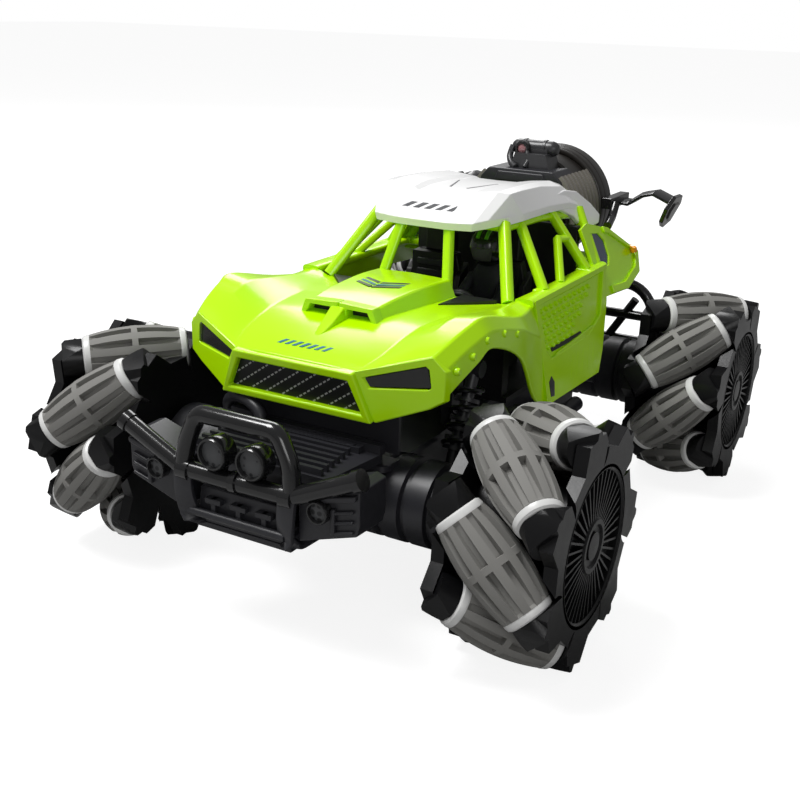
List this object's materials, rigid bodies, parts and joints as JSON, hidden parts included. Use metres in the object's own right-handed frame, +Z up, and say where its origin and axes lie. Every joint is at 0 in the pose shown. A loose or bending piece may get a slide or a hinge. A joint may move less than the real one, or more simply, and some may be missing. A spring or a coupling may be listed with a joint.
{
  "type": "radio-controlled stunt car",
  "caption": "Radio-controlled stunt car with roller-rimmed omnidirectional wheels, tube cage, bumper and rear spray unit.",
  "frame": {"origin": "on the ground, at the middle of the overall width and length", "axes": "+X to the car's left, -Y to its front, +Z up"},
  "size_m": [0.195, 0.26, 0.1362],
  "materials": {
    "green_paint": "gloss",
    "white_paint": "gloss",
    "black_plastic": "satin",
    "grey_rubber": "matte",
    "steel": "brushed",
    "smoked_lens": "gloss",
    "battery_wrap": "gloss",
    "board": "satin",
    "figure": "matte"
  },
  "bodies": {
    "car": {"chassis_tray": "black_plastic", "chassis_deck": "black_plastic", "axle_cases": "black_plastic", "motor_drums": "black_plastic", "gear_motors": "steel", "shock_absorbers": "black_plastic", "battery_pack": "battery_wrap", "battery_door": "black_plastic", "circuit_board": "board", "screws": "steel", "body_shell": "green_paint", "roll_cage": "green_paint", "roof_panel": "white_paint", "grille": "black_plastic", "headlights": "smoked_lens", "cockpit_tub": "black_plastic", "driver_figure": "figure", "front_bumper": "black_plastic", "spot_lamps": "black_plastic", "spray_unit": "black_plastic", "spray_nozzle": "black_plastic", "rear_wing": "black_plastic", "rear_bumper": "black_plastic"},
    "wheel_fl": {"outer_rim_fl": "black_plastic", "inner_rim_fl": "black_plastic"},
    "roller_fl_1": {"roller_fl_1": "grey_rubber"},
    "roller_fl_2": {"roller_fl_2": "grey_rubber"},
    "roller_fl_3": {"roller_fl_3": "grey_rubber"},
    "roller_fl_4": {"roller_fl_4": "grey_rubber"},
    "roller_fl_5": {"roller_fl_5": "grey_rubber"},
    "roller_fl_6": {"roller_fl_6": "grey_rubber"},
    "roller_fl_7": {"roller_fl_7": "grey_rubber"},
    "wheel_fr": {"outer_rim_fr": "black_plastic", "inner_rim_fr": "black_plastic"},
    "roller_fr_1": {"roller_fr_1": "grey_rubber"},
    "roller_fr_2": {"roller_fr_2": "grey_rubber"},
    "roller_fr_3": {"roller_fr_3": "grey_rubber"},
    "roller_fr_4": {"roller_fr_4": "grey_rubber"},
    "roller_fr_5": {"roller_fr_5": "grey_rubber"},
    "roller_fr_6": {"roller_fr_6": "grey_rubber"},
    "roller_fr_7": {"roller_fr_7": "grey_rubber"},
    "wheel_rl": {"outer_rim_rl": "black_plastic", "inner_rim_rl": "black_plastic"},
    "roller_rl_1": {"roller_rl_1": "grey_rubber"},
    "roller_rl_2": {"roller_rl_2": "grey_rubber"},
    "roller_rl_3": {"roller_rl_3": "grey_rubber"},
    "roller_rl_4": {"roller_rl_4": "grey_rubber"},
    "roller_rl_5": {"roller_rl_5": "grey_rubber"},
    "roller_rl_6": {"roller_rl_6": "grey_rubber"},
    "roller_rl_7": {"roller_rl_7": "grey_rubber"},
    "wheel_rr": {"outer_rim_rr": "black_plastic", "inner_rim_rr": "black_plastic"},
    "roller_rr_1": {"roller_rr_1": "grey_rubber"},
    "roller_rr_2": {"roller_rr_2": "grey_rubber"},
    "roller_rr_3": {"roller_rr_3": "grey_rubber"},
    "roller_rr_4": {"roller_rr_4": "grey_rubber"},
    "roller_rr_5": {"roller_rr_5": "grey_rubber"},
    "roller_rr_6": {"roller_rr_6": "grey_rubber"},
    "roller_rr_7": {"roller_rr_7": "grey_rubber"},
    "switch": {"power_switch": "black_plastic"}
  },
  "joints": [
    {"name": "wheel_spin_fl", "type": "hinge", "parent": "car", "child": "wheel_fl", "pos_m": [0.078, -0.081, 0.03937], "axis": [1, 0, 0], "continuous": true},
    {"name": "spin_fl_1", "type": "hinge", "parent": "wheel_fl", "child": "roller_fl_1", "pos_m": [0.078, -0.07269, 0.06778], "axis": [0.7071, -0.6787, 0.1985], "continuous": true},
    {"name": "spin_fl_2", "type": "hinge", "parent": "wheel_fl", "child": "roller_fl_2", "pos_m": [0.078, -0.09803, 0.06358], "axis": [0.7071, -0.5783, -0.4069], "continuous": true},
    {"name": "spin_fl_3", "type": "hinge", "parent": "wheel_fl", "child": "roller_fl_3", "pos_m": [0.078, -0.11055, 0.04115], "axis": [0.7071, -0.0425, -0.7058], "continuous": true},
    {"name": "spin_fl_4", "type": "hinge", "parent": "wheel_fl", "child": "roller_fl_4", "pos_m": [0.078, -0.10081, 0.01738], "axis": [0.7071, 0.5254, -0.4733], "continuous": true},
    {"name": "spin_fl_5", "type": "hinge", "parent": "wheel_fl", "child": "roller_fl_5", "pos_m": [0.078, -0.07616, 0.01017], "axis": [0.7071, 0.6976, 0.1157], "continuous": true},
    {"name": "spin_fl_6", "type": "hinge", "parent": "wheel_fl", "child": "roller_fl_6", "pos_m": [0.078, -0.05515, 0.02495], "axis": [0.7071, 0.3445, 0.6175], "continuous": true},
    {"name": "spin_fl_7", "type": "hinge", "parent": "wheel_fl", "child": "roller_fl_7", "pos_m": [0.078, -0.05361, 0.05059], "axis": [0.7071, -0.268, 0.6544], "continuous": true},
    {"name": "wheel_spin_fr", "type": "hinge", "parent": "car", "child": "wheel_fr", "pos_m": [-0.078, -0.081, 0.03937], "axis": [1, 0, 0], "continuous": true},
    {"name": "spin_fr_1", "type": "hinge", "parent": "wheel_fr", "child": "roller_fr_1", "pos_m": [-0.078, -0.08291, 0.06891], "axis": [-0.7071, -0.7056, -0.0456], "continuous": true},
    {"name": "spin_fr_2", "type": "hinge", "parent": "wheel_fr", "child": "roller_fr_2", "pos_m": [-0.078, -0.10528, 0.0563], "axis": [-0.7071, -0.4043, -0.5801], "continuous": true},
    {"name": "spin_fr_3", "type": "hinge", "parent": "wheel_fr", "child": "roller_fr_3", "pos_m": [-0.078, -0.10937, 0.03094], "axis": [-0.7071, 0.2015, -0.6778], "continuous": true},
    {"name": "spin_fr_4", "type": "hinge", "parent": "wheel_fr", "child": "roller_fr_4", "pos_m": [-0.078, -0.0921, 0.01193], "axis": [-0.7071, 0.6556, -0.2651], "continuous": true},
    {"name": "spin_fr_5", "type": "hinge", "parent": "wheel_fr", "child": "roller_fr_5", "pos_m": [-0.078, -0.06646, 0.01359], "axis": [-0.7071, 0.616, 0.3473], "continuous": true},
    {"name": "spin_fr_6", "type": "hinge", "parent": "wheel_fr", "child": "roller_fr_6", "pos_m": [-0.078, -0.05178, 0.03466], "axis": [-0.7071, 0.1125, 0.6981], "continuous": true},
    {"name": "spin_fr_7", "type": "hinge", "parent": "wheel_fr", "child": "roller_fr_7", "pos_m": [-0.078, -0.0591, 0.05928], "axis": [-0.7071, -0.4756, 0.5232], "continuous": true},
    {"name": "wheel_spin_rl", "type": "hinge", "parent": "car", "child": "wheel_rl", "pos_m": [0.078, 0.089, 0.03937], "axis": [1, 0, 0], "continuous": true},
    {"name": "spin_rl_1", "type": "hinge", "parent": "wheel_rl", "child": "roller_rl_1", "pos_m": [0.078, 0.0905, 0.06894], "axis": [0.7071, 0.7062, -0.0358], "continuous": true},
    {"name": "spin_rl_2", "type": "hinge", "parent": "wheel_rl", "child": "roller_rl_2", "pos_m": [0.078, 0.06682, 0.05898], "axis": [0.7071, 0.4683, 0.5298], "continuous": true},
    {"name": "spin_rl_3", "type": "hinge", "parent": "wheel_rl", "child": "roller_rl_3", "pos_m": [0.078, 0.05985, 0.03426], "axis": [0.7071, -0.1223, 0.6965], "continuous": true},
    {"name": "spin_rl_4", "type": "hinge", "parent": "wheel_rl", "child": "roller_rl_4", "pos_m": [0.078, 0.07482, 0.01339], "axis": [0.7071, -0.6207, 0.3386], "continuous": true},
    {"name": "spin_rl_5", "type": "hinge", "parent": "wheel_rl", "child": "roller_rl_5", "pos_m": [0.078, 0.10048, 0.01209], "axis": [0.7071, -0.6518, -0.2742], "continuous": true},
    {"name": "spin_rl_6", "type": "hinge", "parent": "wheel_rl", "child": "roller_rl_6", "pos_m": [0.078, 0.11749, 0.03134], "axis": [0.7071, -0.192, -0.6805], "continuous": true},
    {"name": "spin_rl_7", "type": "hinge", "parent": "wheel_rl", "child": "roller_rl_7", "pos_m": [0.078, 0.11305, 0.05663], "axis": [0.7071, 0.4123, -0.5744], "continuous": true},
    {"name": "wheel_spin_rr", "type": "hinge", "parent": "car", "child": "wheel_rr", "pos_m": [-0.078, 0.089, 0.03937], "axis": [1, 0, 0], "continuous": true},
    {"name": "spin_rr_1", "type": "hinge", "parent": "wheel_rr", "child": "roller_rr_1", "pos_m": [-0.078, 0.08285, 0.06833], "axis": [-0.7071, 0.6917, 0.147], "continuous": true},
    {"name": "spin_rr_2", "type": "hinge", "parent": "wheel_rr", "child": "roller_rr_2", "pos_m": [-0.078, 0.06253, 0.05261], "axis": [-0.7071, 0.3163, 0.6324], "continuous": true},
    {"name": "spin_rr_3", "type": "hinge", "parent": "wheel_rr", "child": "roller_rr_3", "pos_m": [-0.078, 0.06214, 0.02693], "axis": [-0.7071, -0.2972, 0.6416], "continuous": true},
    {"name": "spin_rr_4", "type": "hinge", "parent": "wheel_rr", "child": "roller_rr_4", "pos_m": [-0.078, 0.08198, 0.01062], "axis": [-0.7071, -0.6869, 0.1676], "continuous": true},
    {"name": "spin_rr_5", "type": "hinge", "parent": "wheel_rr", "child": "roller_rr_5", "pos_m": [-0.078, 0.10711, 0.01596], "axis": [-0.7071, -0.5594, -0.4326], "continuous": true},
    {"name": "spin_rr_6", "type": "hinge", "parent": "wheel_rr", "child": "roller_rr_6", "pos_m": [-0.078, 0.1186, 0.03893], "axis": [-0.7071, -0.0106, -0.707], "continuous": true},
    {"name": "spin_rr_7", "type": "hinge", "parent": "wheel_rr", "child": "roller_rr_7", "pos_m": [-0.078, 0.1078, 0.06224], "axis": [-0.7071, 0.5462, -0.4491], "continuous": true},
    {"name": "power_slide", "type": "slide", "parent": "car", "child": "switch", "axis": [0, 1, 0], "range_m": [0, 0.004]}
  ]
}
